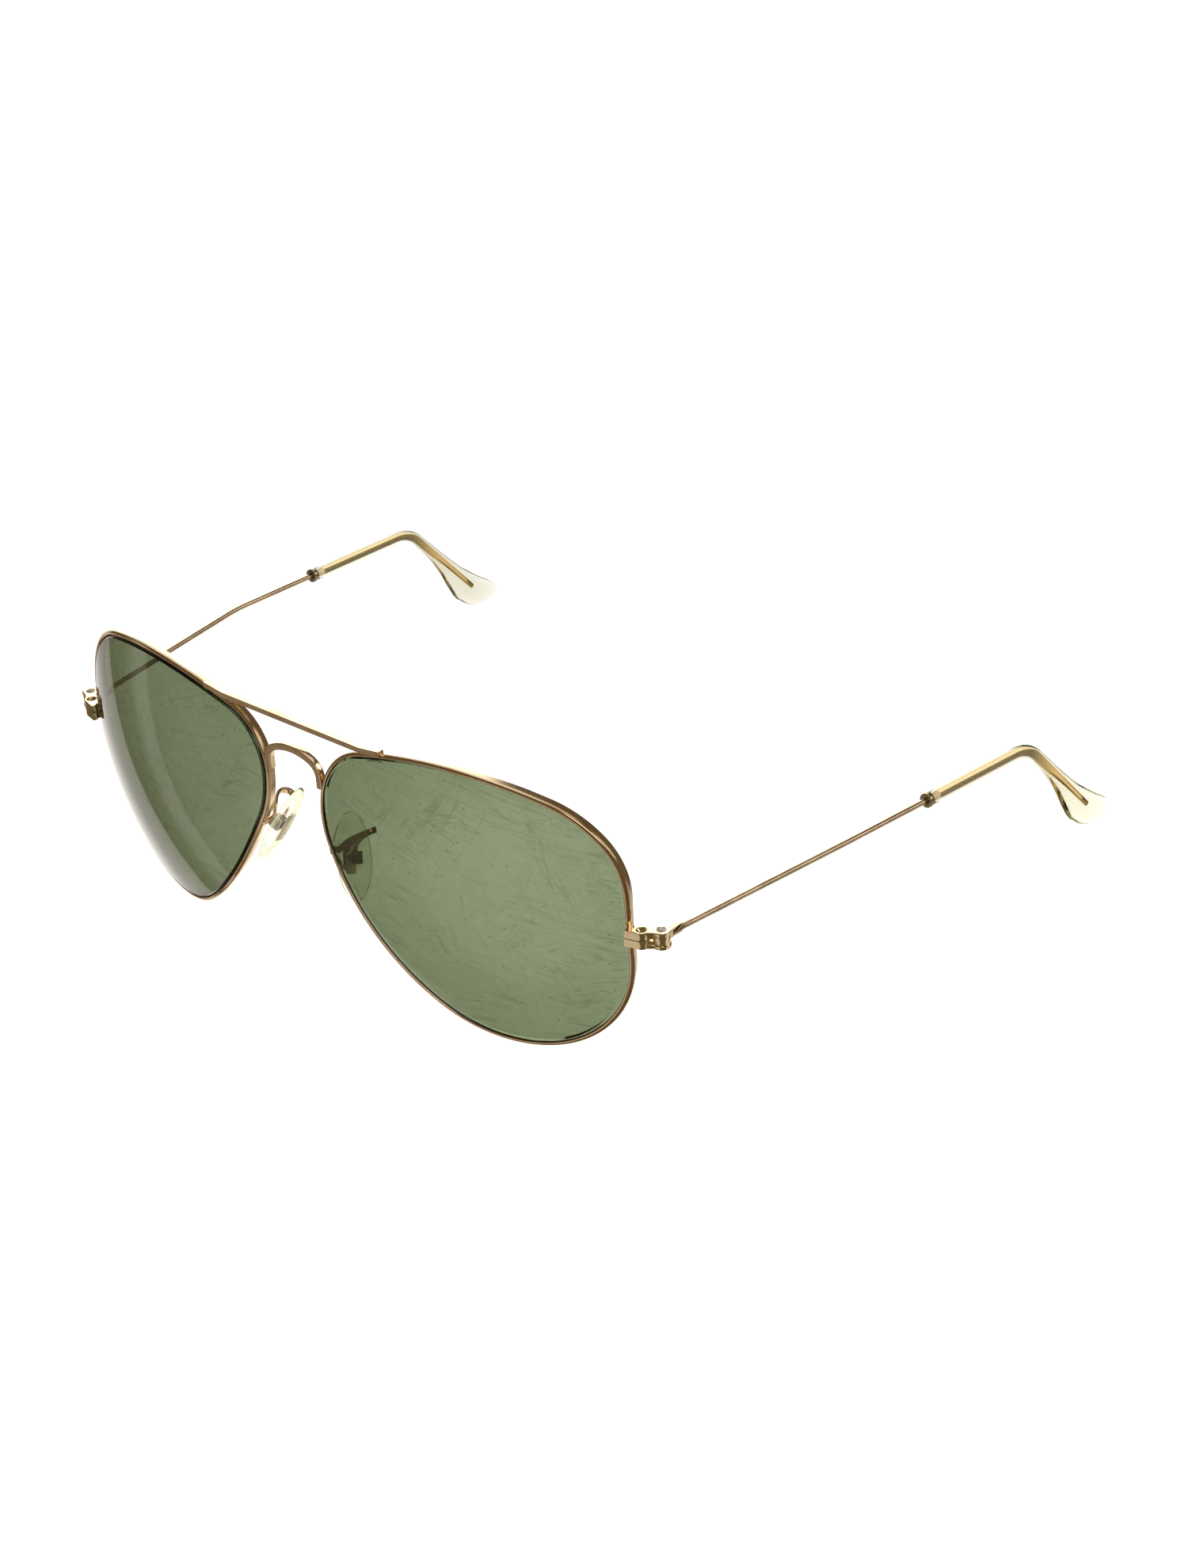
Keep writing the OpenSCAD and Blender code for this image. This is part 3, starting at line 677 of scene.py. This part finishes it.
# the ribbon's middle line, with y from the closing screw
ARM = [
    (8.95, -12.9, 30.5), (8.8, -11.9, 30.1), (9.0, -10.9, 29.95), (9.25, -9.9, 30.1),
    (9.6, -9.1, 30.6), (10.3, -8.25, 31.35), (11.25, -7.0, 31.95), (11.9, -5.7, 32.25),
    (11.95, -4.5, 32.1), (11.4, -3.6, 31.6), (10.6, -3.5, 31.1), (9.9, -4.5, 30.65),
    (9.5, -5.8, 30.05), (9.5, -6.75, 29.35), (10.0, -7.27, 28.7),
]
ARM_UP = Vector((-0.5, 0.19, 0.85))
ARM_W, ARM_T = 1.15, 0.6


def make_arm(word, side):
    """The ribbon that loops back from the eyewire to the pad's box."""
    path = [Vector(p) + Vector((0, FRONT_Y, 0)) for p in smooth_path(ARM, 6)]
    section = rounded_box(ARM_T, ARM_W, 0.14)
    rings = []
    for i, p in enumerate(path):
        ahead = (path[min(i + 1, len(path) - 1)] - path[max(i - 1, 0)]).normalized()
        flat = ahead.cross(ARM_UP).normalized()
        wide = flat.cross(ahead)
        rings.append([p + q[0] * flat + q[1] * wide for q in section])
    points, faces = loft([list(reversed(r)) for r in rings])
    finish_mesh(word + "_pad_ribbon", points, faces, side, "front", COPPER,
                word + "_pad_arm", 60)


# ---------------------------------------------------------------- CAD nodes that stay

def dress(node, material, bevel):
    """New material on a CAD node, its edges softened by modifiers."""
    piece = nodes[node]
    piece.data.materials.clear()
    piece.data.materials.append(material)
    piece.data.polygons.foreach_set("use_smooth", [True] * len(piece.data.polygons))
    weld = piece.modifiers.new("weld", "WELD")
    weld.merge_threshold = 0.000002
    soft = piece.modifiers.new("soft_edges", "BEVEL")
    soft.width = bevel * MM
    soft.segments = 2
    soft.limit_method = "ANGLE"
    soft.angle_limit = math.radians(40)
    normals = piece.modifiers.new("normals", "WEIGHTED_NORMAL")
    normals.keep_sharp = False


DRESSED = (
    ("upper_block", BRASS, 0.09), ("lower_block", BRASS, 0.09), ("knuckle", BRASS, 0.08),
    ("collar", BRONZE, 0.12), ("pad_box", BRONZE, 0.10), ("pad_insert", BRONZE, 0.06),
    ("closing_screw", STEEL, 0.04), ("hinge_screw", STEEL, 0.05), ("pad_screw", STEEL, 0.04),
)

for word, side in SIDES:
    make_eyewire(word, side)
    make_lens(word, side)
    make_temple_wire(word, side)
    make_tip(word, side)
    make_pad(word, side)
    make_arm(word, side)
    for node, material, bevel in DRESSED:
        dress(f"{word}_{node}", material, bevel)
make_bridge()
dress("brow_bar", GOLD, 0.12)

# ---------------------------------------------------------------- floor, light, camera

def stage(name, points, faces, material):
    """A mesh in metres that belongs to the surroundings."""
    mesh = bpy.data.meshes.new(name)
    mesh.from_pydata(points, [], faces)
    mesh.materials.append(material)
    thing = bpy.data.objects.new(name, mesh)
    bpy.context.scene.collection.objects.link(thing)
    return thing


def stage_floor():
    """A white sheet with painted shade, a little darker under the -X lens."""
    m = Nodes("pale_floor")
    # painted shade: the floor's colour darkens towards -X in place of less light on that side
    light = m.span(m.xyz(m.place)[0], -0.07, -0.01)
    pale = m.mix(light, (0.76, 0.755, 0.76), (0.95, 0.95, 0.95))
    tone = m.mix(m.math("MULTIPLY", m.noise(9, 3, 0.5), 0.1), pale, (0.80, 0.80, 0.79))
    m.principled(Base_Color=tone, Roughness=0.9, Specular_IOR_Level=0.0)
    half, z = 8.0, -0.0001
    corners = [(-half, -half, z), (half, -half, z), (half, half, z), (-half, half, z)]
    floor = stage("floor", corners, [(0, 1, 2, 3)], m.material)
    floor.visible_glossy = False


# direction, cosine where the panel starts, cosine where it is full, strength
PANELS = (
    ((-0.602, 0.632, 0.489), 0.950, 0.975, 2.1),
    ((0.66, 0.56, 0.50), 0.955, 0.972, 1.9),
    ((0.602, -0.632, 0.489), 0.955, 0.982, 1.9),
    ((-0.78, 0.61, 0.08), 0.945, 0.975, 1.7),
    ((0.74, 0.42, -0.49), 0.86, 0.95, 0.55),
    ((-0.60, -0.63, -0.49), 0.93, 0.99, 0.12),
    ((-0.15, -0.86, -0.49), 0.90, 0.985, 0.46),
    ((-0.10, 0.50, -0.86), 0.80, 0.95, 0.9),
    ((0.0, 0.1, 1.0), 0.82, 0.92, 0.7),
)


def stage_dome():
    """A light tent that only shows in gloss: bright panels on a dim room."""
    m = Nodes("tent")
    norm = m.tree.nodes.new("ShaderNodeVectorMath")
    norm.operation = "NORMALIZE"
    m.put(norm.inputs[0], m.place)
    x, y, z = m.xyz(norm.outputs[0])
    total = None
    for direction, start, full, strength in PANELS:
        dot = m.tree.nodes.new("ShaderNodeVectorMath")
        dot.operation = "DOT_PRODUCT"
        m.put(dot.inputs[0], norm.outputs[0])
        dot.inputs[1].default_value = Vector(direction).normalized()
        value = m.span(dot.outputs["Value"], start, full, 0.0, strength)
        total = value if total is None else m.math("ADD", total, value)
    # a white sheet low on the -X side: one sharp edge, then brighter towards the back, and a faint
    # second strip nearer the front
    edge = m.math("SUBTRACT", m.math("SUBTRACT", y, m.math("MULTIPLY", z, 0.28)), 0.1)
    sheet = m.math("MULTIPLY", m.span(edge, -0.008, 0.012), m.span(edge, 0.0, 0.45, 0.55, 1.32))
    faint = m.math("MULTIPLY", m.span(y, -0.375, -0.36), m.span(y, -0.17, -0.31, 0.0, 0.42))
    low = m.math("MULTIPLY", m.span(z, 0.06, -0.08), m.span(x, -0.35, -0.60))
    low = m.math("MULTIPLY", low, m.span(y, 0.75, 0.62))
    total = m.math("ADD", total, m.math("MULTIPLY", low, m.math("ADD", sheet, faint)))
    light = m.mix(1.0, m.scale_colour((1.0, 0.97, 0.93), total), (0.13, 0.10, 0.06), "ADD")
    glow = m.tree.nodes.new("ShaderNodeEmission")
    m.put(glow.inputs["Color"], light)
    m.tree.links.new(glow.outputs[0], m.out.inputs["Surface"])
    rings, n, radius = 24, 48, 6.0
    points = [(radius * math.sin(math.pi * i / rings) * math.cos(2 * math.pi * j / n),
               radius * math.sin(math.pi * i / rings) * math.sin(2 * math.pi * j / n),
               radius * math.cos(math.pi * i / rings))
              for i in range(1, rings) for j in range(n)]
    points += [(0, 0, radius), (0, 0, -radius)]
    faces = [(i * n + j, (i + 1) * n + j, (i + 1) * n + (j + 1) % n, i * n + (j + 1) % n)
             for i in range(rings - 2) for j in range(n)]
    top, bottom = len(points) - 2, len(points) - 1
    faces += [(top, j, (j + 1) % n) for j in range(n)]
    faces += [(bottom, (rings - 2) * n + (j + 1) % n, (rings - 2) * n + j) for j in range(n)]
    tent = stage("tent", points, faces, m.material)
    tent.visible_camera = tent.visible_diffuse = tent.visible_transmission = False
    tent.visible_shadow = tent.visible_volume_scatter = False


def stage_world():
    """Even white light that doesn't show in gloss."""
    world = bpy.data.worlds.new("white_room")
    world.use_nodes = True
    back = world.node_tree.nodes["Background"]
    back.inputs["Color"].default_value = (1, 1, 1, 1)
    back.inputs["Strength"].default_value = 1.62
    world.cycles_visibility.glossy = False
    bpy.context.scene.world = world


def camera():
    """The photo's viewpoint."""
    data = bpy.data.cameras.new("camera")
    data.lens = 79.17
    data.sensor_width = 36
    data.sensor_fit = "AUTO"
    data.clip_start = 0.01
    data.clip_end = 50
    eye = bpy.data.objects.new("camera", data)
    bpy.context.scene.collection.objects.link(eye)
    right = Vector((0.74392, 0.66595, -0.05559))
    up = Vector((-0.29041, 0.39709, 0.87062))
    back = Vector((0.60187, -0.63153, 0.48880))
    turn = Matrix((right, up, back)).transposed().to_4x4()
    eye.matrix_world = Matrix.Translation((0.407637, -0.417467, 0.336731)) @ turn
    bpy.context.scene.camera = eye


stage_floor()
stage_dome()
stage_world()
camera()
bpy.context.scene.view_settings.view_transform = "Standard"
